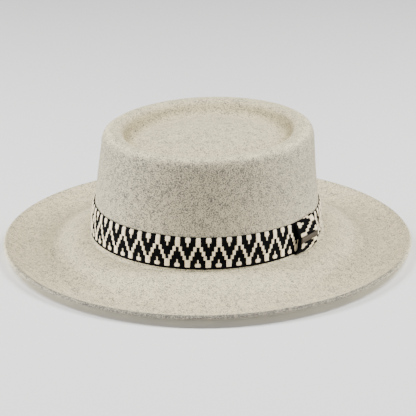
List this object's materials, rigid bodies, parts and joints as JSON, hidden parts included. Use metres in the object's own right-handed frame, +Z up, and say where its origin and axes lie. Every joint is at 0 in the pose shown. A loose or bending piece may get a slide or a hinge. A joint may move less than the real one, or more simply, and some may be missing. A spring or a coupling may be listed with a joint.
{
  "type": "boater hat",
  "caption": "Wide-brimmed wool felt hat with a low crown, an oval dent in its flat top, a patterned ribbon band, a ribbon keeper and a plain metal bar.",
  "frame": {"origin": "on the surface that the brim rests on, under the middle of the hat", "axes": "-Y is where the wearer looks, +X is the wearer's left, +Z is up through the crown"},
  "size_m": [0.3318, 0.3378, 0.1025],
  "materials": {
    "wool_felt": "matte mottled grey-beige wool felt",
    "band_ribbon": "woven black and cream ribbon",
    "keeper_ribbon": "woven black and cream ribbon, turned a quarter",
    "bar_metal": "satin, dark nickel"
  },
  "bodies": {
    "root": {"felt_body": "wool_felt", "hat_band": "band_ribbon", "band_keeper": "keeper_ribbon", "keeper_bar": "bar_metal"}
  },
  "joints": []
}
